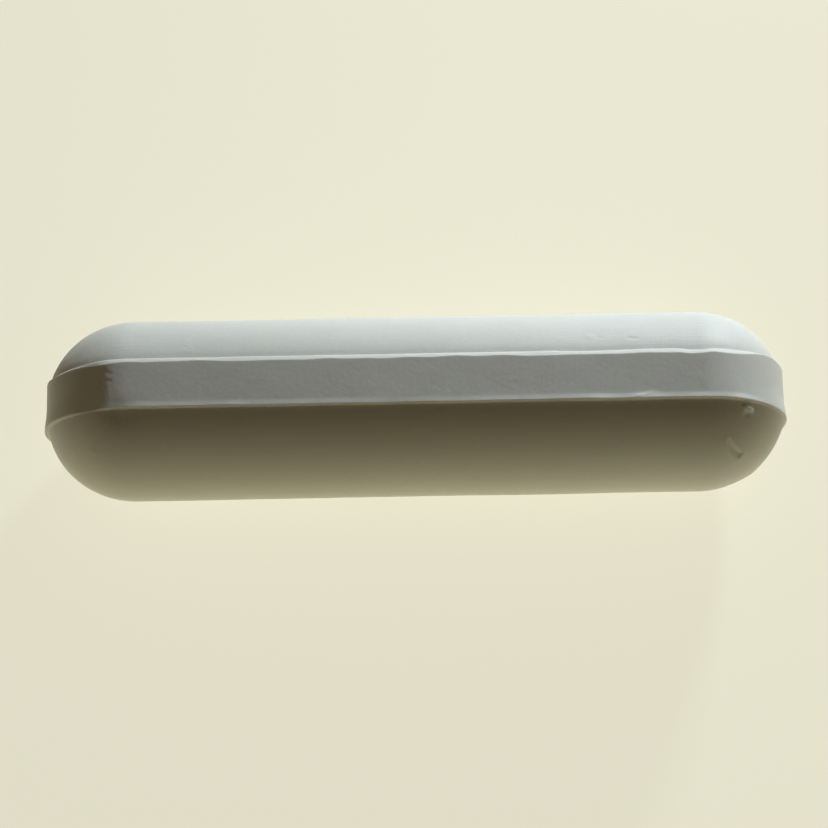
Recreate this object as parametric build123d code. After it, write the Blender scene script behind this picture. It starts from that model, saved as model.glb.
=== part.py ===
# A magnetic stir bar: a rod magnet sealed inside a white jacket pressed and sintered from PTFE powder.
#
# The jacket is pressed in a straight-walled die between two punches with half-round hollows.
# The die leaves the belt: a flat band that runs lengthwise round the bar, through both ends.
# The punches leave the two half-round sides, and their rims leave the small step beside the belt.
#
# The bar lies on one long flat of its belt, as it comes to rest on a bench.
# X runs along the bar, Y is the direction of pressing and Z is up.
# The origin is in the middle of the flat that the bar lies on.

import os
from math import sqrt

from build123d import *

# The jacket's outside, in millimetres.
bar_length = 25.0
belt_across = 6.0
body_thickness = 6.1
belt_width = 1.76
belt_step = 0.125
belt_edge_radius = 0.08
belt_root_radius = 0.02

# The jacket's wall over the magnet, and the gap left round the magnet.
side_wall = 1.0
end_wall = 2.5
magnet_clearance = 0.02

# The magnet's ground edges.
magnet_chamfer = 0.3

# Worked out from the sizes above.
belt_radius = belt_across / 2
step_radius = belt_radius - belt_step
end_centre = bar_length / 2 - belt_radius
axis_height = belt_radius
magnet_diameter = min(belt_across, body_thickness) - 2 * side_wall
magnet_length = bar_length - 2 * end_wall


def half_section():
    """Half of the jacket's cross-section, from the bar's axis out to one flat of the belt.

    Local X runs outward from the axis and local Y is the direction of pressing.
    Each crown is one arc, level at its top, that ends at the step beside the belt.
    """
    crown_top = (0, body_thickness / 2)
    step_foot = (step_radius, belt_width / 2)
    belt_corner = (belt_radius, belt_width / 2)
    crown_and_step = TangentArc(crown_top, step_foot, tangent=(1, 0)) + Line(step_foot, belt_corner)
    belt_face = Line(belt_corner, (belt_radius, -belt_width / 2))
    axis_line = Line((0, -body_thickness / 2), crown_top)
    section = make_face(crown_and_step + belt_face + mirror(crown_and_step, Plane.XZ) + axis_line)

    belt_edges = section.vertices().group_by(Axis.X)[-1]
    section = fillet(belt_edges, belt_edge_radius)
    step_roots = section.vertices().filter_by(lambda corner: abs(corner.X - step_radius) < 1e-6)
    return fillet(step_roots, belt_root_radius)


def jacket_outside():
    """The jacket's outer form as one solid: a straight middle between two rounded ends."""
    axis_middle = (0, 0, axis_height)
    upper_half = Plane(axis_middle, x_dir=(0, 0, 1), z_dir=(-1, 0, 0)) * half_section()
    lower_half = Plane(axis_middle, x_dir=(0, 0, -1), z_dir=(1, 0, 0)) * half_section()
    middle = extrude(upper_half, end_centre, dir=(1, 0, 0), both=True)
    middle += extrude(lower_half, end_centre, dir=(1, 0, 0), both=True)

    end_axis = Axis((end_centre, 0, axis_height), (0, -1, 0))
    right_end = revolve(Pos(end_centre, 0, 0) * lower_half, end_axis, 180)
    return middle + right_end + mirror(right_end, Plane.YZ)


def rod(gap):
    """The magnet's form, grown by a gap on every side. With no gap it is the magnet itself."""
    blank = Cylinder(magnet_diameter / 2 + gap, magnet_length + 2 * gap)
    chamfer_leg = magnet_chamfer + (2 - sqrt(2)) * gap
    blank = chamfer(blank.edges().filter_by(GeomType.CIRCLE), chamfer_leg)
    return Pos(0, 0, axis_height) * Rot(0, 90, 0) * blank


ptfe_jacket = jacket_outside() - rod(magnet_clearance)
bar_magnet = rod(0)

os.makedirs("parts", exist_ok=True)
export_step(ptfe_jacket, "parts/ptfe_jacket.step")
export_step(bar_magnet, "parts/bar_magnet.step")
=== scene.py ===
"""Looks of a magnetic stir bar: a white PTFE jacket, pressed and sintered round a rod magnet.

The bar lies on one long flat of its belt. X runs along it, Y is the direction in which the jacket
was pressed and Z is up. Sizes are in millimetres until they are turned to metres with MM.
"""

import logging
import math
from dataclasses import dataclass
from enum import Enum

import bpy
import numpy as np
from mathutils import Matrix, Vector, noise


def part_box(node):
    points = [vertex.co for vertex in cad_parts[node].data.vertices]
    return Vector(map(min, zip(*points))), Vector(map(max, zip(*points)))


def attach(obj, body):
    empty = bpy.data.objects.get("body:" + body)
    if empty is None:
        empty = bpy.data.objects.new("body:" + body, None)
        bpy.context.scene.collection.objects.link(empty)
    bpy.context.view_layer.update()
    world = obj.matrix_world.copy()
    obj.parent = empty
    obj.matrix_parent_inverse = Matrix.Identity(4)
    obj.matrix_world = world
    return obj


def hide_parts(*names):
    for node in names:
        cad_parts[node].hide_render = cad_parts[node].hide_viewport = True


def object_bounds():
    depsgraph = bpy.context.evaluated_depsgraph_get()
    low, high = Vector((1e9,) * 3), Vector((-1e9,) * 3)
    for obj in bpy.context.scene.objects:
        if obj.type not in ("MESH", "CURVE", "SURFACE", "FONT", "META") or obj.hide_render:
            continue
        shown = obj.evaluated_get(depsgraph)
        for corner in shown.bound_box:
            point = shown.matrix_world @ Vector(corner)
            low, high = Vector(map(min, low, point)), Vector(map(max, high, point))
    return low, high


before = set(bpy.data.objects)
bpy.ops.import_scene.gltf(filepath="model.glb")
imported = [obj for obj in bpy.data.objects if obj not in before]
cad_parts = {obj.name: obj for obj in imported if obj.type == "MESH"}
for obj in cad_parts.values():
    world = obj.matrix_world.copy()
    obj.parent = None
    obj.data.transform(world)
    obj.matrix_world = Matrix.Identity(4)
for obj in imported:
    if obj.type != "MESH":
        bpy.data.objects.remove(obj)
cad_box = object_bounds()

MM = 0.001
# How far a seed of 1 shifts a pattern along X, Y and Z.
SEED_SHIFT = np.array([1.0, 2.3, 3.1])
# Above 1, the points across the belt lie closer together near its edges.
FINER_TO_EDGE = 1.6
# Above 0, and up to 1, the points across a crown lie closer together near the belt.
FINER_TO_BELT = 0.5
# The power by which a crown's fill grows from the crown's middle to the belt.
FILL_GROWTH = 3
# An even power. Above 2, a fault keeps its strength over more of its reach and ends more sharply.
FAULT_SHARPNESS = 4
# A cut faces up by 1 on top of the bar and by -1 under it. A fault, lip or crease begins to show where
# a cut faces up by the first of its values, and shows in full from the second.
FAULTS_SHOW = (-0.6, -0.1)
LIP_SHOWS = (-0.95, -0.4)
CREASE_SHOWS = (-0.1, 0.2)
# Where a scratch's burr stands and how wide it is, in widths of the scratch.
BURR_AT = 1.7
BURR_WIDTH = 0.5

Place = tuple[float, float, float]
Colour = tuple[float, float, float, float]

log = logging.getLogger("stir_bar")


def linear(hex_colour: str) -> Colour:
    """Turns an sRGB colour into the linear one that the shaders use.

    Args:
        hex_colour: a hash and six hex digits.

    Returns:
        Linear red, green and blue, and an alpha of one.
    """
    shares = [int(hex_colour[start:start + 2], 16) / 255 for start in (1, 3, 5)]
    # These are the sRGB standard's own numbers.
    red, green, blue = (s / 12.92 if s <= 0.04045 else ((s + 0.055) / 1.055) ** 2.4 for s in shares)
    return red, green, blue, 1.0


def per_metre(feature_mm: float) -> float:
    """Gives the texture scale at which features are this many millimetres wide."""
    return 1 / (feature_mm * MM)


def smooth_rise(values: np.ndarray, start: float, end: float) -> np.ndarray:
    """Rises smoothly from 0 at start to 1 at end.

    Args:
        values: where to read the rise.
        start: the value up to which it is 0.
        end: the value from which it is 1.

    Returns:
        The height of the rise at each value.
    """
    share = np.clip((values - start) / (end - start), 0, 1)
    return share * share * (3 - 2 * share)


def wander(places: np.ndarray, feature_mm: float, seed: float) -> np.ndarray:
    """Reads a smooth, seeded wander between about -1 and 1.

    Args:
        places: one row of x, y and z for each reading, in millimetres.
        feature_mm: how far apart its rises and falls lie.
        seed: picks one pattern among many.

    Returns:
        The wander at each place.
    """
    shifted = places / feature_mm + seed * SEED_SHIFT
    return np.array([noise.noise(place) for place in shifted.tolist()])


def add_node(tree: bpy.types.NodeTree, kind: str, inputs: dict | None = None,
             settings: dict | None = None) -> bpy.types.Node:
    """Adds one node with its settings and links.

    Args:
        tree: the node tree that the node joins.
        kind: the node's type.
        inputs: each input's name or number, with its value or the output that feeds it.
        settings: each property's name and value.

    Returns:
        The new node.
    """
    node = tree.nodes.new(kind)
    for name, value in (settings or {}).items():
        setattr(node, name, value)
    for name, value in (inputs or {}).items():
        if isinstance(value, bpy.types.NodeSocket):
            tree.links.new(value, node.inputs[name])
        else:
            node.inputs[name].default_value = value
    return node


def new_material(name: str) -> tuple[bpy.types.Material, bpy.types.NodeTree]:
    """Makes a material whose node tree is empty.

    Args:
        name: the material's name.

    Returns:
        The material and its tree.
    """
    material = bpy.data.materials.new(name)
    material.use_nodes = True
    material.node_tree.nodes.clear()
    return material, material.node_tree


def two_tones(tree: bpy.types.NodeTree, pattern: bpy.types.NodeSocket, low: str,
              high: str, spread: float = 0.15) -> bpy.types.NodeSocket:
    """Colours a pattern with two tones.

    Args:
        tree: the node tree to add to.
        pattern: the pattern, from 0 to 1 and mostly near a half.
        low: the sRGB colour where the pattern is low.
        high: the sRGB colour where it is high.
        spread: how far from a half the pure tones are reached.

    Returns:
        The colour output.
    """
    ramp = add_node(tree, "ShaderNodeValToRGB", {"Fac": pattern})
    first, last = ramp.color_ramp.elements
    first.position = 0.5 - spread
    first.color = linear(low)
    last.position = 0.5 + spread
    last.color = linear(high)
    return ramp.outputs["Color"]


def new_mesh_object(name: str, points_mm: np.ndarray, faces: list[tuple[int, ...]]) -> bpy.types.Object:
    """Makes a smooth-shaded mesh object and links it to the scene.

    Args:
        name: the name of the object and of its mesh.
        points_mm: one row of x, y and z for each vertex, in millimetres.
        faces: the vertex numbers of each face, anticlockwise from outside.

    Returns:
        The new object.
    """
    mesh = bpy.data.meshes.new(name)
    mesh.from_pydata((points_mm * MM).tolist(), [], faces)
    mesh.shade_smooth()
    piece = bpy.data.objects.new(name, mesh)
    bpy.context.scene.collection.objects.link(piece)
    return piece


@dataclass(frozen=True)
class SinteredPtfe:
    """PTFE, pressed from powder in a polished die and sintered.

    Sintering leaves a dense white solid with a waxy, half-matt skin. Light goes a little way into
    it, so its edges are soft, and its low index keeps highlights weak and broad. The powder leaves
    the skin mottled, glassware rubs fine lines along the crowns, the die's wall drags finer ones
    across the belt as the bar is pushed out, and the belt's crease is scuffed.
    """

    name: str = "PTFE_pressed_and_sintered"
    white: str = "#F8F9F6"
    cloudy: str = "#F2F3F0"
    ior: float = 1.35
    roughness: float = 0.5
    roughness_spread: float = 0.08
    # How deep light goes into it, how much of it does, and how far its red, green and blue then go.
    light_depth_mm: float = 0.15
    light_share: float = 0.4
    light_reach: tuple[float, float, float] = (1.0, 0.95, 0.85)
    # How wide its clouds and its mottling are.
    cloud_mm: float = 2.2
    mottle_mm: float = 0.55
    mottle_height_mm: float = 0.007
    # The powder's grains are 0.02 to 0.05 mm, too fine to show, so the grain is drawn coarser.
    grain_mm: float = 0.14
    grain_height_mm: float = 0.004
    # The lines that glassware rubs along the crowns.
    rub_line_mm: float = 0.1
    rub_length_mm: float = 1.6
    rub_height_mm: float = 0.006
    # The lines are this share of their height where the clouds are low, and grow between these values.
    least_rubbed: float = 0.2
    rubbed_between: tuple[float, float] = (0.45, 0.65)
    # The lines that the die's wall drags across the belt.
    drag_line_mm: float = 0.09
    drag_length_mm: float = 2.5
    drag_height_mm: float = 0.0015
    # Where the belt's crease is scuffed, and how high the lines stand there.
    scuff_height_mm: float = 0.005
    scuff_at_mm: float = -10.1
    scuff_reach_mm: float = 0.35

    def build(self, belt_half_width_mm: float) -> bpy.types.Material:
        """Builds the material.

        Args:
            belt_half_width_mm: how far the belt reaches to each side of its middle.

        Returns:
            The finished material.
        """
        material, tree = new_material(self.name)
        place = add_node(tree, "ShaderNodeTexCoord").outputs["Object"]
        clouds = add_node(tree, "ShaderNodeTexNoise", {
            "Vector": place, "Scale": per_metre(self.cloud_mm), "Detail": 4.0, "Roughness": 0.6})
        grain = add_node(tree, "ShaderNodeTexNoise", {
            "Vector": place, "Scale": per_metre(self.grain_mm), "Detail": 3.0, "Roughness": 0.7})
        mottle = add_node(tree, "ShaderNodeTexNoise", {
            "Vector": place, "Scale": per_metre(self.mottle_mm), "Detail": 2.0, "Roughness": 0.6})
        rubs = self.lines(tree, place, (self.rub_length_mm, self.rub_line_mm, self.rub_line_mm))
        drags = self.lines(tree, place, (self.drag_line_mm, self.drag_length_mm, self.drag_line_mm))

        parts = add_node(tree, "ShaderNodeSeparateXYZ", {0: place})
        from_middle = add_node(tree, "ShaderNodeMath", {0: parts.outputs["Y"]}, {"operation": "ABSOLUTE"})
        on_belt = add_node(tree, "ShaderNodeMath", {
            0: from_middle.outputs[0], 1: belt_half_width_mm * MM}, {"operation": "LESS_THAN"})
        from_scuff = add_node(tree, "ShaderNodeMath", {
            0: parts.outputs["X"], 1: -self.scuff_at_mm * MM}, {"operation": "ADD"})
        from_scuff = add_node(tree, "ShaderNodeMath", {
            0: from_scuff.outputs[0]}, {"operation": "ABSOLUTE"})
        line_height = add_node(tree, "ShaderNodeMapRange", {
            "Value": from_scuff.outputs[0], "From Min": 0.0, "From Max": self.scuff_reach_mm * MM,
            "To Min": self.scuff_height_mm * MM, "To Max": self.drag_height_mm * MM})
        belt_height = add_node(tree, "ShaderNodeMath", {
            0: line_height.outputs[0], 1: on_belt.outputs[0]}, {"operation": "MULTIPLY"})
        on_crown = add_node(tree, "ShaderNodeMath", {
            0: 1.0, 1: on_belt.outputs[0]}, {"operation": "SUBTRACT"})
        worn = add_node(tree, "ShaderNodeMapRange", {
            "Value": clouds.outputs["Fac"], "From Min": self.rubbed_between[0],
            "From Max": self.rubbed_between[1], "To Min": self.least_rubbed * self.rub_height_mm * MM,
            "To Max": self.rub_height_mm * MM})
        rub_height = add_node(tree, "ShaderNodeMath", {
            0: worn.outputs[0], 1: on_crown.outputs[0]}, {"operation": "MULTIPLY"})

        roughness = add_node(tree, "ShaderNodeMapRange", {
            "Value": clouds.outputs["Fac"],
            "To Min": self.roughness - self.roughness_spread,
            "To Max": self.roughness + self.roughness_spread})
        grain_bump = add_node(tree, "ShaderNodeBump", {
            "Height": grain.outputs["Fac"], "Distance": self.grain_height_mm * MM})
        mottle_bump = add_node(tree, "ShaderNodeBump", {
            "Height": mottle.outputs["Fac"], "Distance": self.mottle_height_mm * MM,
            "Normal": grain_bump.outputs[0]})
        drag_bump = add_node(tree, "ShaderNodeBump", {
            "Height": drags, "Distance": belt_height.outputs[0], "Normal": mottle_bump.outputs[0]})
        rub_bump = add_node(tree, "ShaderNodeBump", {
            "Height": rubs, "Distance": rub_height.outputs[0], "Normal": drag_bump.outputs[0]})
        speckle = add_node(tree, "ShaderNodeMath", {
            0: clouds.outputs["Fac"], 1: grain.outputs["Fac"]}, {"operation": "ADD"})
        speckle = add_node(tree, "ShaderNodeMath", {
            0: speckle.outputs[0], 1: 0.5}, {"operation": "MULTIPLY"})
        surface = add_node(tree, "ShaderNodeBsdfPrincipled", {
            "Base Color": two_tones(tree, speckle.outputs[0], self.cloudy, self.white),
            "Roughness": roughness.outputs[0], "IOR": self.ior,
            "Subsurface Weight": self.light_share, "Subsurface Scale": self.light_depth_mm * MM,
            "Subsurface Radius": self.light_reach, "Normal": rub_bump.outputs[0]})
        add_node(tree, "ShaderNodeOutputMaterial", {"Surface": surface.outputs[0]})
        return material

    def lines(self, tree: bpy.types.NodeTree, place: bpy.types.NodeSocket,
              spacing_mm: tuple[float, float, float]) -> bpy.types.NodeSocket:
        """Makes a noise that is stretched into fine lines.

        Args:
            tree: the node tree to add to.
            place: the place on the bar.
            spacing_mm: how far apart its features lie along X, Y and Z.

        Returns:
            The pattern, from 0 to 1.
        """
        stretched = add_node(tree, "ShaderNodeMapping", {
            "Vector": place, "Scale": tuple(per_metre(spacing) for spacing in spacing_mm)})
        noise_lines = add_node(tree, "ShaderNodeTexNoise", {
            "Vector": stretched.outputs[0], "Scale": 1.0, "Detail": 2.0})
        return noise_lines.outputs["Fac"]


@dataclass(frozen=True)
class GroundMagnetAlloy:
    """Aluminium-nickel-cobalt alloy, cast and ground to a rod.

    Grinding leaves a grey metal with a satin shine and fine rings round the rod.
    """

    name: str = "alnico_cast_and_ground"
    bright: str = "#A7A9AB"
    dull: str = "#85878A"
    roughness: float = 0.36
    # The rings that the grinding wheel leaves.
    ring_mm: float = 0.08
    ring_length_mm: float = 8.0
    ring_height_mm: float = 0.002

    def build(self) -> bpy.types.Material:
        """Builds the material.

        Returns:
            The finished material.
        """
        material, tree = new_material(self.name)
        place = add_node(tree, "ShaderNodeTexCoord").outputs["Object"]
        round_scale = per_metre(self.ring_length_mm)
        stretched = add_node(tree, "ShaderNodeMapping", {
            "Vector": place, "Scale": (per_metre(self.ring_mm), round_scale, round_scale)})
        rings = add_node(tree, "ShaderNodeTexNoise", {
            "Vector": stretched.outputs[0], "Scale": 1.0, "Detail": 4.0})
        bump = add_node(tree, "ShaderNodeBump", {
            "Height": rings.outputs["Fac"], "Distance": self.ring_height_mm * MM})
        surface = add_node(tree, "ShaderNodeBsdfPrincipled", {
            "Base Color": two_tones(tree, rings.outputs["Fac"], self.dull, self.bright),
            "Metallic": 1.0, "Roughness": self.roughness, "Normal": bump.outputs[0]})
        add_node(tree, "ShaderNodeOutputMaterial", {"Surface": surface.outputs[0]})
        return material


@dataclass(frozen=True)
class PaleSheet:
    """A sheet of matt opal acrylic, pale and plain, over a faint light.

    Before the bar its surface glows a little in a pale yellow. This is painted light: only the light that
    reaches the bar sees the glow, and it lights the bar's shaded side from below. It is lifted to its
    pale tone where the camera sees it, and the bar's shadow still shows on it.

    Attributes:
        name: the material's name.
        tone: its sRGB colour.
        glow_tone: the sRGB colour of its glow.
        front_glow: how strongly it glows before the bar.
        back_glow: how strongly it glows behind the bar.
        glow_fades_over_mm: over what length the one glow turns into the other, under the bar.
        shade_share: how much of the light and shade that fall on it the camera sees.
        lift: how bright the camera sees it in full shade.
    """

    name: str = "acrylic_sheet_matt_opal"
    tone: str = "#F6F3DC"
    glow_tone: str = "#FCF5CC"
    front_glow: float = 0.62
    back_glow: float = 0.0
    glow_fades_over_mm: float = 8.0
    shade_share: float = 0.27
    lift: float = 0.8

    def build(self) -> bpy.types.Material:
        """Builds the material.

        Returns:
            The finished material.
        """
        material, tree = new_material(self.name)
        tone = linear(self.tone)
        shaded_tone = (*(channel * self.shade_share for channel in tone[:3]), 1.0)
        matt = add_node(tree, "ShaderNodeBsdfDiffuse", {"Color": tone})
        place = add_node(tree, "ShaderNodeTexCoord").outputs["Object"]
        parts = add_node(tree, "ShaderNodeSeparateXYZ", {0: place})
        half_fade = self.glow_fades_over_mm / 2 * MM
        strength = add_node(tree, "ShaderNodeMapRange", {
            "Value": parts.outputs["Y"], "From Min": -half_fade, "From Max": half_fade,
            "To Min": self.front_glow, "To Max": self.back_glow})
        # Painted light: the sheet's own glow, strongest before the bar, lights the bar's shaded side. The
        # camera sees the seen shaders below instead.
        glow = add_node(tree, "ShaderNodeEmission", {
            "Color": linear(self.glow_tone), "Strength": strength.outputs[0]})
        lit = add_node(tree, "ShaderNodeAddShader", {0: matt.outputs[0], 1: glow.outputs[0]})
        seen_matt = add_node(tree, "ShaderNodeBsdfDiffuse", {"Color": shaded_tone})
        seen_glow = add_node(tree, "ShaderNodeEmission", {"Color": tone, "Strength": self.lift})
        seen = add_node(tree, "ShaderNodeAddShader", {0: seen_matt.outputs[0], 1: seen_glow.outputs[0]})
        surface = add_node(tree, "ShaderNodeMixShader", {
            0: seen_directly(tree), 1: lit.outputs[0], 2: seen.outputs[0]})
        add_node(tree, "ShaderNodeOutputMaterial", {"Surface": surface.outputs[0]})
        return material


def seen_directly(tree: bpy.types.NodeTree) -> bpy.types.NodeSocket:
    """Tells where a thing is seen from where it only sheds light.

    Args:
        tree: the node tree to add to.

    Returns:
        An output of 1 where the camera, a shiny surface or a clear one sees the thing, and 0 elsewhere.
    """
    path = add_node(tree, "ShaderNodeLightPath")
    seen = add_node(tree, "ShaderNodeMath", {
        0: path.outputs["Is Camera Ray"], 1: path.outputs["Is Glossy Ray"]}, {"operation": "MAXIMUM"})
    seen = add_node(tree, "ShaderNodeMath", {
        0: seen.outputs[0], 1: path.outputs["Is Transmission Ray"]}, {"operation": "MAXIMUM"})
    return seen.outputs[0]


class Side(Enum):
    """The two sides of the belt, as the direction in which they face along Y."""

    BACK = 1
    FRONT = -1


@dataclass(frozen=True)
class EdgeFault:
    """A stretch where an edge of the belt came out uneven on the upper half, in millimetres.

    Attributes:
        at_x: its middle, along the bar.
        reach: how far it reaches to each side of its middle.
        inward: how far it pushes the edge towards the belt's middle.
        roll: how much wider it makes the edge's flank.
        lip: how much higher it makes the lip.
        fill: how much of the step the crown fills there.
    """

    at_x: float
    reach: float
    inward: float = 0.0
    roll: float = 0.0
    lip: float = 0.0
    fill: float = 0.0

    def strength(self, edge_x: np.ndarray, out_z: np.ndarray) -> np.ndarray:
        """Gives its strength, 0 to 1, for cuts at these places along the bar that face up this far."""
        along = np.exp(-((edge_x - self.at_x) / self.reach) ** FAULT_SHARPNESS)
        return along * smooth_rise(out_z, *FAULTS_SHOW)


@dataclass(frozen=True)
class BeltEdge:
    """One long edge of the belt as the press left it, in millimetres.

    Attributes:
        half_width: how far the edge lies from the belt's middle.
        roll_across: how wide the flank is that breaks the edge.
        roll_form: the flank's form, where 2 is a round and 1 a flat slope.
        roll_wander: by what share of itself the flank's width strays.
        root: the radius where the step meets the crown.
        groove: how deep the punch's rim sank into the crown at the step's foot.
        groove_reach: how far the groove reaches from the foot.
        lip: how far the squeezed-out lip stands above the belt.
        lip_reach: how far from the edge the lip begins to rise.
        lip_wander: by what share of itself the lip's height strays.
        flare: how far the belt widens outward towards this edge at the bar's ends.
        flare_reach: how far from the edge the flare begins.
        wander_height: how far the edge strays from its line.
        wander_length: how far apart its strays lie.
        seed: picks its pattern of strays.
        faults: the places where it is pinched or broken.
    """

    half_width: float
    roll_across: float
    roll_form: float
    roll_wander: float = 0.3
    root: float = 0.02
    groove: float = 0.0
    groove_reach: float = 0.14
    lip: float = 0.0
    lip_reach: float = 0.16
    lip_wander: float = 0.6
    flare: float = 0.0
    flare_reach: float = 0.7
    wander_height: float = 0.012
    wander_length: float = 1.9
    seed: float = 3.0
    faults: tuple[EdgeFault, ...] = ()


@dataclass(frozen=True)
class Dent:
    """A small hollow or bump, in millimetres.

    Attributes:
        at: its place on the bar.
        radius: how wide it is.
        depth: how deep it goes, or with a minus sign how far it stands out.
    """

    at: Place
    radius: float
    depth: float

    def offset(self, places: np.ndarray) -> np.ndarray:
        """Gives how far the surface moves outward at each place, in millimetres."""
        distance = np.linalg.norm(places - np.array(self.at), axis=1) / self.radius
        return -self.depth * np.exp(-distance ** 2)


@dataclass(frozen=True)
class Scratch:
    """A scratch, in millimetres.

    Attributes:
        path: the places on the bar that it runs through.
        width: how wide it is.
        depth: how deep it goes, or with a minus sign how far it stands out.
        burr: how high its ploughed-up edges stand.
    """

    path: tuple[Place, ...]
    width: float
    depth: float
    burr: float = 0.0

    def offset(self, places: np.ndarray) -> np.ndarray:
        """Works out how the surface moves.

        Args:
            places: one row of x, y and z for each point.

        Returns:
            How far each point moves outward, in millimetres.
        """
        distance = np.full(len(places), np.inf)
        for start, end in zip(self.path, self.path[1:]):
            run = np.array(end) - np.array(start)
            share = np.clip((places - np.array(start)) @ run / (run @ run), 0, 1)
            nearest = np.array(start) + share[:, None] * run
            distance = np.minimum(distance, np.linalg.norm(places - nearest, axis=1))
        distance = distance / self.width
        burr = self.burr * np.exp(-((distance - BURR_AT) / BURR_WIDTH) ** 2)
        return burr - self.depth * np.exp(-distance ** 2)


@dataclass(frozen=True)
class Crease:
    """A crease across the belt where its long flat turns down into the left end, in millimetres.

    Attributes:
        starts_x: where the belt begins to dip, along the bar.
        full_x: where the dip is deepest.
        ends_x: where the belt is back on its round.
        depth: how deep the dip is.
    """

    starts_x: float = -10.05
    full_x: float = -10.75
    ends_x: float = -12.4
    depth: float = 0.075

    def dip(self, edge_x: np.ndarray, out_z: np.ndarray) -> np.ndarray:
        """Works out how deep the belt dips at each cut.

        Args:
            edge_x: each cut's place along the bar.
            out_z: how far up each cut faces.

        Returns:
            The depth of the dip.
        """
        down = smooth_rise(-edge_x, -self.starts_x, -self.full_x)
        back = smooth_rise(-edge_x, -self.full_x, -self.ends_x)
        return self.depth * (down - back) * smooth_rise(out_z, *CREASE_SHOWS)


@dataclass
class PtfeJacket:
    """The jacket: two half-round crowns and the belt between them, wrapped right round the bar.

    Its skin is made of cuts across the belt, one after another round the belt's loop. Each cut runs
    from the middle of the back crown, over the belt, to the middle of the front crown. The hollow
    that holds the magnet is in the same mesh.
    """

    node: str = "ptfe_jacket"
    slot: str = "jacket"
    core_node: str = "bar_magnet"
    # In millimetres, the plain solid's step beside the belt, and the magnet's gap and chamfer in it.
    belt_step: float = 0.125
    core_gap: float = 0.02
    core_chamfer: float = 0.3
    back_edge: BeltEdge = BeltEdge(
        half_width=0.917, roll_across=0.165, roll_form=1.15, groove=0.014, faults=(
            EdgeFault(at_x=-12.6, reach=1.9, inward=0.1, roll=-0.13),
            EdgeFault(at_x=4.4, reach=0.45, inward=-0.015),
            EdgeFault(at_x=5.8, reach=0.5, inward=0.015),
            EdgeFault(at_x=7.9, reach=0.8, inward=-0.022),
            EdgeFault(at_x=9.35, reach=0.42, inward=0.05),
            EdgeFault(at_x=12.6, reach=1.6, inward=-0.05, roll=-0.1),
        ))
    front_edge: BeltEdge = BeltEdge(
        half_width=0.833, roll_across=0.045, roll_form=1.1, lip=0.017, lip_reach=0.2, flare=0.05,
        seed=8.0, faults=(
            EdgeFault(at_x=-12.2, reach=2.5, lip=-0.02),
            EdgeFault(at_x=-5.9, reach=0.3, lip=0.014),
            EdgeFault(at_x=-0.4, reach=1.0, lip=-0.008),
            EdgeFault(at_x=7.8, reach=3.2, lip=0.018),
            EdgeFault(at_x=7.75, reach=0.5, lip=0.016),
            EdgeFault(at_x=11.0, reach=0.5, lip=0.014),
            EdgeFault(at_x=12.4, reach=1.2, lip=-0.014, fill=0.07),
        ))
    crease: Crease = Crease()
    marks: tuple[Dent | Scratch, ...] = (
        # The raised fleck at the right end, with a pit beside it, and the curved scratch below them.
        Scratch(path=((10.88, -1.0, 5.45), (11.06, -1.05, 5.34)), width=0.075, depth=-0.15),
        Dent(at=(10.93, -1.24, 5.33), radius=0.09, depth=0.035),
        Scratch(path=((10.31, -2.0, 5.02), (10.48, -2.23, 4.76), (10.74, -2.37, 4.48)), width=0.085,
                depth=0.075, burr=0.025),
        # A nick and a bulge beside it, low on the right end.
        Dent(at=(10.92, -2.5, 2.21), radius=0.13, depth=0.06),
        Dent(at=(11.3, -2.27, 2.28), radius=0.35, depth=-0.045),
        # The fleck at the left end.
        Dent(at=(-10.7, -2.0, 5.0), radius=0.07, depth=-0.05),
        # Nicks on the back crown beside the belt.
        Scratch(path=((-7.66, 1.42, 5.74), (-7.42, 1.24, 5.84)), width=0.06, depth=0.025, burr=0.01),
        Dent(at=(-7.6, 1.6, 5.63), radius=0.09, depth=-0.012),
        Dent(at=(4.87, 1.37, 5.68), radius=0.08, depth=-0.01),
        Dent(at=(5.8, 1.48, 5.62), radius=0.1, depth=-0.014),
        Scratch(path=((6.05, 1.45, 5.64), (6.3, 1.42, 5.65)), width=0.05, depth=0.01, burr=0.004),
        Scratch(path=((7.1, 1.39, 5.67), (7.4, 1.36, 5.68)), width=0.05, depth=0.018, burr=0.008),
        # Specks on the belt.
        Dent(at=(3.32, -0.22, 6.0), radius=0.06, depth=0.006),
        Dent(at=(6.94, 0.2, 6.0), radius=0.06, depth=0.007),
        Dent(at=(7.86, 0.25, 6.0), radius=0.06, depth=0.005),
        # The front lip peels inward here.
        Scratch(path=((7.28, -0.74, 6.0), (7.6, -0.69, 6.0), (7.85, -0.61, 6.0)), width=0.045,
                depth=-0.022),
        # The belt's crease is scuffed, and its front edge is worn down beside it.
        Scratch(path=((-10.42, 0.66, 5.92), (-10.05, 0.38, 5.98)), width=0.06, depth=0.012, burr=0.005),
        Scratch(path=((-10.5, 0.3, 5.9), (-10.08, 0.12, 5.97)), width=0.05, depth=0.009, burr=0.004),
        Dent(at=(-9.8, -0.98, 5.92), radius=0.4, depth=0.045),
        # The ends aren't quite round: full at their corners, and drawn in where the straight run ends.
        Dent(at=(11.6, -2.1, 3.0), radius=1.3, depth=-0.045),
        Dent(at=(-11.7, 2.1, 3.2), radius=1.2, depth=-0.025),
        Dent(at=(-11.7, -2.0, 3.0), radius=1.2, depth=-0.02),
        Dent(at=(9.8, 3.0, 3.2), radius=0.9, depth=0.035),
        Dent(at=(-9.7, 3.0, 3.2), radius=0.9, depth=0.02),
    )
    # The surface is uneven in broad swells and in finer ripples.
    swell_height: float = 0.012
    swell_length: float = 2.6
    swell_seed: float = 5.0
    ripple_height: float = 0.003
    ripple_length: float = 0.7
    ripple_seed: float = 11.0
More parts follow.
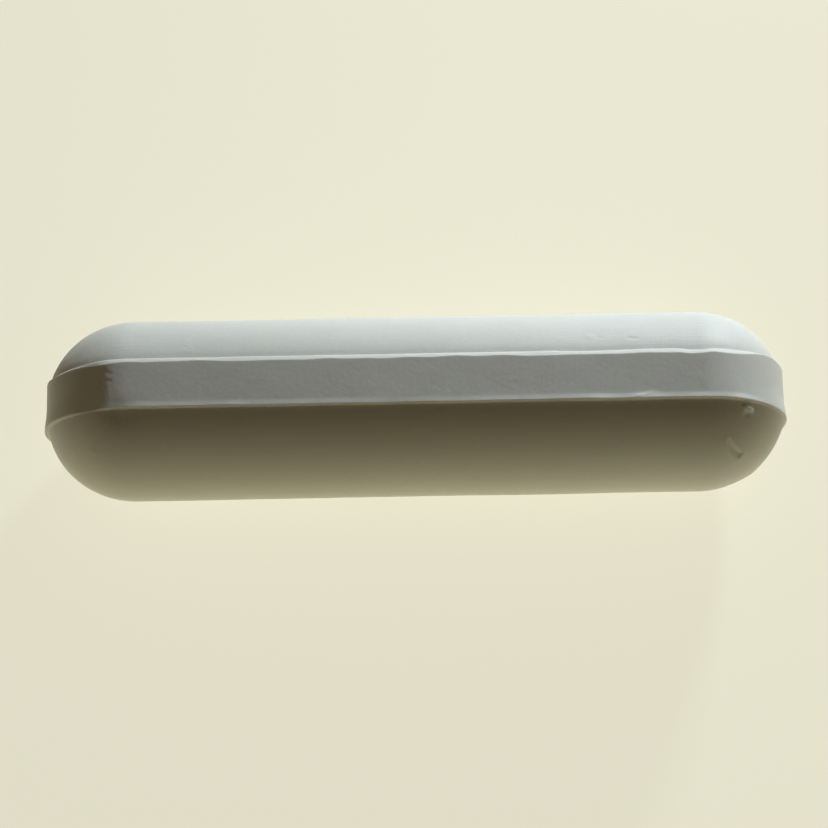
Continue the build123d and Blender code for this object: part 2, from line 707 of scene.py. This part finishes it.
    # How many steps each part has: the cuts along each flat and round each end, the points across a
    # crown, a root, a flank and half the belt, and the facets round the hollow.
    run_cuts: int = 190
    right_cuts: int = 150
    left_cuts: int = 100
    crown_points: int = 44
    root_points: int = 3
    roll_points: int = 9
    face_points: int = 16
    core_cuts: int = 72
    finish: SinteredPtfe = SinteredPtfe()

    def __post_init__(self) -> None:
        """Takes the outside sizes from the frame and works out the crown's arc from them."""
        low, high = (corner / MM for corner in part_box(self.node))
        self.belt_radius = (high.z - low.z) / 2
        self.end_centre = (high.x - low.x) / 2 - self.belt_radius
        self.axis_height = low.z + self.belt_radius
        crown_height = (high.y - low.y) / 2
        rise = crown_height - self.back_edge.half_width
        step_radius = self.belt_radius - self.belt_step
        self.crown_radius = (step_radius ** 2 + rise ** 2) / (2 * rise)
        self.crown_centre = crown_height - self.crown_radius

    def cuts(self) -> np.ndarray:
        """Places the cuts round the belt's loop.

        They go along the top from left to right, round the right end, back along the underside and
        round the left end.

        Returns:
            A row for each cut, of its centre's x and the x and z of the direction outward.
        """
        run = np.linspace(-self.end_centre, self.end_centre, self.run_cuts + 1)
        right_turn = np.linspace(0, math.pi, self.right_cuts + 1)[1:-1]
        left_turn = np.linspace(0, math.pi, self.left_cuts + 1)[1:-1]
        top = [(x, 0.0, 1.0) for x in run]
        right = [(self.end_centre, math.sin(a), math.cos(a)) for a in right_turn]
        under = [(-x, 0.0, -1.0) for x in run]
        left = [(-self.end_centre, -math.sin(a), -math.cos(a)) for a in left_turn]
        return np.array(top + right + under + left)

    def half_cuts(self, cuts: np.ndarray, edge: BeltEdge, side: Side) -> tuple[np.ndarray, np.ndarray]:
        """Works out every cut on one side of the belt's middle.

        Args:
            cuts: the rows that cuts() gives.
            edge: the belt's edge on this side.
            side: which side it is.

        Returns:
            How far each point lies out from the bar's axis, and its y, cut by point, from the
            crown's middle to the belt's middle.
        """
        centre_x, out_x, out_z = cuts.T
        edge_x = centre_x + self.belt_radius * out_x
        edge_z = self.axis_height + self.belt_radius * out_z
        loop = np.stack([edge_x, np.full(len(cuts), float(side.value)), edge_z], axis=1)
        width = edge.half_width + edge.wander_height * wander(loop, edge.wander_length, edge.seed)
        roll_stray = edge.roll_wander * wander(loop, edge.wander_length / 2, edge.seed + 1)
        lip_stray = edge.lip_wander * wander(loop, edge.wander_length / 2, edge.seed + 2)
        roll = edge.roll_across * (1 + roll_stray)
        lip = np.full(len(cuts), edge.lip)
        fill = np.zeros(len(cuts))
        for fault in edge.faults:
            strength = fault.strength(edge_x, out_z)
            width = width - fault.inward * strength
            roll = roll + fault.roll * strength
            lip = lip + fault.lip * strength
            fill = fill + fault.fill * strength
        # The lip and the flare are worn off where the bar lies on them.
        lip = lip * (1 + lip_stray)
        lip = lip * smooth_rise(out_z, *LIP_SHOWS)
        flare = edge.flare * out_x ** 2 * smooth_rise(out_z, *LIP_SHOWS)
        dip = self.crease.dip(edge_x, out_z)
        rows = (width, roll, lip, fill, flare, dip)
        width, roll, lip, fill, flare, dip = (row[:, None] for row in rows)

        foot = np.arcsin((width + edge.root - self.crown_centre) / self.crown_radius)
        share = np.linspace(0, 1, self.crown_points)
        turned = (1 + FINER_TO_BELT) * share - FINER_TO_BELT * share ** 2
        angle = math.pi / 2 - (math.pi / 2 - foot) * turned
        crown_y = self.crown_centre + self.crown_radius * np.sin(angle)
        groove = edge.groove * np.exp(-((crown_y - width) / edge.groove_reach) ** 2)
        crown_out = self.crown_radius * np.cos(angle) + fill * share ** FILL_GROWTH - groove

        # Each stretch begins where the one before it ends, so its first point is left out.
        share = np.linspace(0, 1, self.root_points + 1)[1:]
        root_out = crown_out[:, -1:] + edge.root * share ** 2
        root_y = width + edge.root * (1 - share) ** 2

        angle = np.linspace(0, math.pi / 2, self.roll_points + 1)[1:]
        belt_top = self.belt_radius - dip
        depth = belt_top - root_out[:, -1:]
        power = 2 / edge.roll_form
        roll_out = belt_top - depth * (1 - np.sin(angle) ** power)
        roll_y = width - roll * (1 - np.cos(angle) ** power)

        share = np.linspace(0, 1, self.face_points + 1)[1:]
        face_y = (width - roll) * (1 - share ** FINER_TO_EDGE)
        face_out = np.broadcast_to(belt_top, face_y.shape)

        belt_out = np.concatenate([roll_out, face_out], axis=1)
        belt_y = np.concatenate([roll_y, face_y], axis=1)
        crest = width - roll
        belt_out = belt_out + lip * smooth_rise(belt_y, crest - edge.lip_reach, width)
        belt_out = belt_out + flare * smooth_rise(belt_y, crest - edge.flare_reach, crest)
        out = np.concatenate([crown_out, root_out, belt_out], axis=1)
        y = np.concatenate([crown_y, root_y, belt_y], axis=1)
        return out, y * side.value

    def skin(self) -> tuple[np.ndarray, list[tuple[int, ...]]]:
        """Builds the outer skin before wear.

        Returns:
            Its points in millimetres and its faces. The middle line of each crown is shared by the
            cuts above and below it.
        """
        cuts = self.cuts()
        back_out, back_y = self.half_cuts(cuts, self.back_edge, Side.BACK)
        front_out, front_y = self.half_cuts(cuts, self.front_edge, Side.FRONT)
        out = np.concatenate([back_out, front_out[:, -2::-1]], axis=1)
        y = np.concatenate([back_y, front_y[:, -2::-1]], axis=1)
        x = cuts[:, :1] + out * cuts[:, 1:2]
        z = self.axis_height + out * cuts[:, 2:]
        points = np.stack([x, y, z], axis=2)

        cut_count, point_count = out.shape
        number = np.arange(cut_count * point_count).reshape(cut_count, point_count)
        last_run = self.run_cuts
        under_start = last_run + self.right_cuts
        under = slice(under_start, under_start + last_run + 1)
        # The middle line of each crown takes the numbers that the cuts along the top have there.
        for column in (0, point_count - 1):
            number[under, column] = number[last_run::-1, column]
            number[last_run:under_start, column] = number[last_run, column]
            number[under.stop:, column] = number[0, column]

        following = np.roll(number, -1, axis=0)
        corners = np.stack([number[:, :-1], number[:, 1:], following[:, 1:], following[:, :-1]], axis=2)
        faces = [tuple(dict.fromkeys(face)) for face in corners.reshape(-1, 4).tolist()]
        used = np.unique(number)
        renumber = np.zeros(number.size, dtype=int)
        renumber[used] = np.arange(len(used))
        faces = [tuple(int(renumber[n]) for n in face) for face in faces]
        return points.reshape(-1, 3)[used], faces

    def worn(self, skin: np.ndarray) -> np.ndarray:
        """Moves the skin's points for the unevenness of the sintered surface and for each mark.

        Args:
            skin: its points in millimetres.

        Returns:
            The moved points, none of them below the bench.
        """
        # Every point moves straight away from the bar's axis, so that sharp edges don't fold over.
        outward = skin - np.array([0.0, 0.0, self.axis_height])
        outward[:, 0] -= np.clip(skin[:, 0], -self.end_centre, self.end_centre)
        outward /= np.linalg.norm(outward, axis=1)[:, None]
        offset = self.swell_height * wander(skin, self.swell_length, self.swell_seed)
        offset += self.ripple_height * wander(skin, self.ripple_length, self.ripple_seed)
        for mark in self.marks:
            offset += mark.offset(skin)
        moved = skin + outward * offset[:, None]
        moved[:, 2] = np.maximum(moved[:, 2], 0)
        return moved

    def hollow(self, first_number: int) -> tuple[np.ndarray, list[tuple[int, ...]]]:
        """Builds the wall of the hollow that holds the magnet.

        Args:
            first_number: the number that its first point gets.

        Returns:
            Its points in millimetres and its faces, which face the hollow.
        """
        low, high = (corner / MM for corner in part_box(self.core_node))
        reach = high.x + self.core_gap
        radius = (high.z - low.z) / 2 + self.core_gap
        # The gap is as wide across the chamfer as elsewhere.
        chamfer = self.core_chamfer + (2 - math.sqrt(2)) * self.core_gap
        rings = [(-reach, radius - chamfer), (chamfer - reach, radius), (reach - chamfer, radius),
                 (reach, radius - chamfer)]
        points = []
        for x, ring_radius in rings:
            for step in range(self.core_cuts):
                angle = 2 * math.pi * step / self.core_cuts
                z = self.axis_height + ring_radius * math.sin(angle)
                points.append((x, ring_radius * math.cos(angle), z))
        faces = []
        for ring in range(len(rings) - 1):
            for step in range(self.core_cuts):
                after = (step + 1) % self.core_cuts
                here, there = ring * self.core_cuts, (ring + 1) * self.core_cuts
                faces.append((here + step, there + step, there + after, here + after))
        first_ring = tuple(range(self.core_cuts))
        last_ring = tuple(n + (len(rings) - 1) * self.core_cuts for n in first_ring)
        faces += [first_ring, last_ring[::-1]]
        return np.array(points), [tuple(n + first_number for n in face) for face in faces]

    def build(self) -> bpy.types.Object:
        """Builds the whole jacket in place of its plain solid.

        Returns:
            The jacket.
        """
        skin_points, skin_faces = self.skin()
        skin_points = self.worn(skin_points)
        hollow_points, hollow_faces = self.hollow(len(skin_points))
        piece = new_mesh_object(
            "ptfe_jacket_skin", np.concatenate([skin_points, hollow_points]), skin_faces + hollow_faces)
        smooth = np.arange(len(piece.data.polygons)) < len(skin_faces)
        piece.data.polygons.foreach_set("use_smooth", smooth)
        piece.data.materials.append(self.finish.build(self.front_edge.half_width))
        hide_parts(self.node)
        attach(piece, "root")
        return piece


@dataclass
class RodMagnet:
    """The rod magnet sealed in the jacket. Its solid comes from the frame and keeps its shape."""

    node: str = "bar_magnet"
    finish: GroundMagnetAlloy = GroundMagnetAlloy()

    def dress(self) -> bpy.types.Object:
        """Gives the magnet its finish.

        Returns:
            The magnet.
        """
        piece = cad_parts[self.node]
        piece.data.materials.clear()
        piece.data.materials.append(self.finish.build())
        return piece


@dataclass(frozen=True)
class SoftLamp:
    """A square soft lamp with a grid on it that narrows its beam.

    Attributes:
        name: the lamp's name.
        azimuth_deg: where it stands, turned from straight behind the bar towards its right end.
        elevation_deg: how high it stands above the bench.
        distance_mm: how far it is from the bar.
        side_mm: the length of its side.
        level: how bright it makes a white card that faces it, where 1 is white.
        beam_deg: the full angle of its beam, which fades towards its rim.
        aim_mm: how far towards the bar's right end it is aimed.
        tint: its sRGB colour.
    """

    name: str
    azimuth_deg: float
    elevation_deg: float
    distance_mm: float
    side_mm: float
    level: float
    beam_deg: float
    aim_mm: float = 0.0
    tint: str = "#FFFFFF"

    def build(self, target: Vector) -> bpy.types.Object:
        """Makes the lamp.

        Args:
            target: the bar's middle, in metres.

        Returns:
            The lamp object.
        """
        azimuth, elevation = math.radians(self.azimuth_deg), math.radians(self.elevation_deg)
        towards = Vector((math.sin(azimuth) * math.cos(elevation),
                          math.cos(azimuth) * math.cos(elevation), math.sin(elevation)))
        distance = self.distance_mm * MM
        half_beam = math.radians(self.beam_deg) / 2
        # A narrow beam would be brighter in its middle by this much, so the power is divided by it.
        gathered = math.tan(half_beam) / (math.tan(half_beam) - half_beam)
        lamp = bpy.data.lights.new(self.name, "AREA")
        lamp.shape = "SQUARE"
        lamp.size = self.side_mm * MM
        lamp.spread = 2 * half_beam
        # Without the grid, this power makes a white card beside the bar look white.
        white_watts = (math.pi * distance) ** 2
        lamp.energy = self.level * white_watts / gathered
        lamp.color = linear(self.tint)[:3]
        holder = bpy.data.objects.new(self.name, lamp)
        holder.location = target + towards * distance
        aim = target + Vector((self.aim_mm * MM, 0, 0))
        holder.rotation_euler = (holder.location - aim).to_track_quat("Z", "Y").to_euler()
        holder.visible_camera = False
        bpy.context.scene.collection.objects.link(holder)
        return holder


@dataclass
class Studio:
    """The bench, the lamps and the light of the room."""

    bench_side_mm: float = 4000.0
    bench_finish: PaleSheet = PaleSheet()
    room_light: str = "#FFD27A"
    room_level: float = 0.04
    backdrop_level: float = 0.9
    lamps: tuple[SoftLamp, ...] = (
        SoftLamp("key_lamp", azimuth_deg=26, elevation_deg=13.8, distance_mm=110, side_mm=14, level=1.05,
                 beam_deg=60, aim_mm=3, tint="#EDF7FA"),
    )

    def build(self, target: Vector) -> list[bpy.types.Object]:
        """Makes everything and returns it.

        Args:
            target: the point that the lamps face, in metres.

        Returns:
            The bench and the lamps.
        """
        half = self.bench_side_mm / 2
        corners = np.array([(-half, -half, 0), (half, -half, 0), (half, half, 0), (-half, half, 0)])
        bench = new_mesh_object("bench", corners, [(0, 1, 2, 3)])
        bench.data.materials.append(self.bench_finish.build())
        self.light_room()
        return [bench, *(lamp.build(target) for lamp in self.lamps)]

    def light_room(self) -> None:
        """Lights the room evenly, and gives it the bench's tone wherever the room itself is seen."""
        world = bpy.data.worlds.new("room")
        world.use_nodes = True
        bpy.context.scene.world = world
        tree = world.node_tree
        tree.nodes.clear()
        room = add_node(tree, "ShaderNodeBackground", {
            "Color": linear(self.room_light), "Strength": self.room_level})
        backdrop = add_node(tree, "ShaderNodeBackground", {
            "Color": linear(self.bench_finish.tone), "Strength": self.backdrop_level})
        mix = add_node(tree, "ShaderNodeMixShader", {
            0: seen_directly(tree), 1: room.outputs[0], 2: backdrop.outputs[0]})
        add_node(tree, "ShaderNodeOutputWorld", {"Surface": mix.outputs[0]})


@dataclass(frozen=True)
class PhotoCamera:
    """The camera, where the photograph's outline of the bar says that it stood.

    Attributes:
        photo_side_px: the photograph's width and height.
        bar_centre_px: where the bar's middle shows in the photograph.
        px_per_mm: the photograph's scale at the bar's middle.
        distance_mm: how far the camera is from the bar's middle.
        elevation_deg: how high it stands above the bench.
        bar_tilt_deg: how much higher the bar's right end shows than its left.
        sensor_mm: the width of the camera's sensor.
        near_mm: how near it still sees things.
        far_mm: how far it sees.
    """

    photo_side_px: int = 828
    bar_centre_px: tuple[float, float] = (415.3, 406.8)
    px_per_mm: float = 29.43
    distance_mm: float = 93.4
    elevation_deg: float = 72.0
    bar_tilt_deg: float = 1.04
    sensor_mm: float = 36.0
    near_mm: float = 1.0
    far_mm: float = 10000.0

    def build(self, target: Vector) -> bpy.types.Object:
        """Makes the camera and sets it as the scene's.

        Args:
            target: the bar's middle, in metres.

        Returns:
            The camera object.
        """
        elevation = math.radians(self.elevation_deg)
        back = Vector((0, -math.cos(elevation), math.sin(elevation)))
        roll = Matrix.Rotation(math.radians(-self.bar_tilt_deg), 3, back)
        right = roll @ Vector((1, 0, 0))
        up = back.cross(right)
        camera = bpy.data.cameras.new("photo_camera")
        camera.sensor_width = self.sensor_mm
        camera.lens = self.px_per_mm * self.distance_mm / self.photo_side_px * self.sensor_mm
        centre = self.photo_side_px / 2
        camera.shift_x = (centre - self.bar_centre_px[0]) / self.photo_side_px
        camera.shift_y = (self.bar_centre_px[1] - centre) / self.photo_side_px
        camera.clip_start = self.near_mm * MM
        camera.clip_end = self.far_mm * MM
        holder = bpy.data.objects.new("photo_camera", camera)
        turn = Matrix((right, up, back)).transposed()
        holder.matrix_world = Matrix.Translation(target + back * self.distance_mm * MM) @ turn.to_4x4()
        bpy.context.scene.collection.objects.link(holder)
        bpy.context.scene.camera = holder
        return holder


def main() -> None:
    """Builds the bar and the studio, and reports each piece."""
    logging.basicConfig(level=logging.INFO, format="%(message)s")
    bpy.context.scene.view_settings.view_transform = "Standard"
    low, high = cad_box
    middle = (low + high) / 2
    jacket = PtfeJacket().build()
    log.info("%s: %d points, %d faces", jacket.name, len(jacket.data.vertices), len(jacket.data.polygons))
    magnet = RodMagnet().dress()
    log.info("%s: %d faces", magnet.name, len(magnet.data.polygons))
    for thing in Studio().build(middle):
        log.info("%s", thing.name)
    camera = PhotoCamera().build(middle)
    log.info("%s: lens %.1f mm", camera.name, camera.data.lens)


if __name__ == "__main__":
    main()
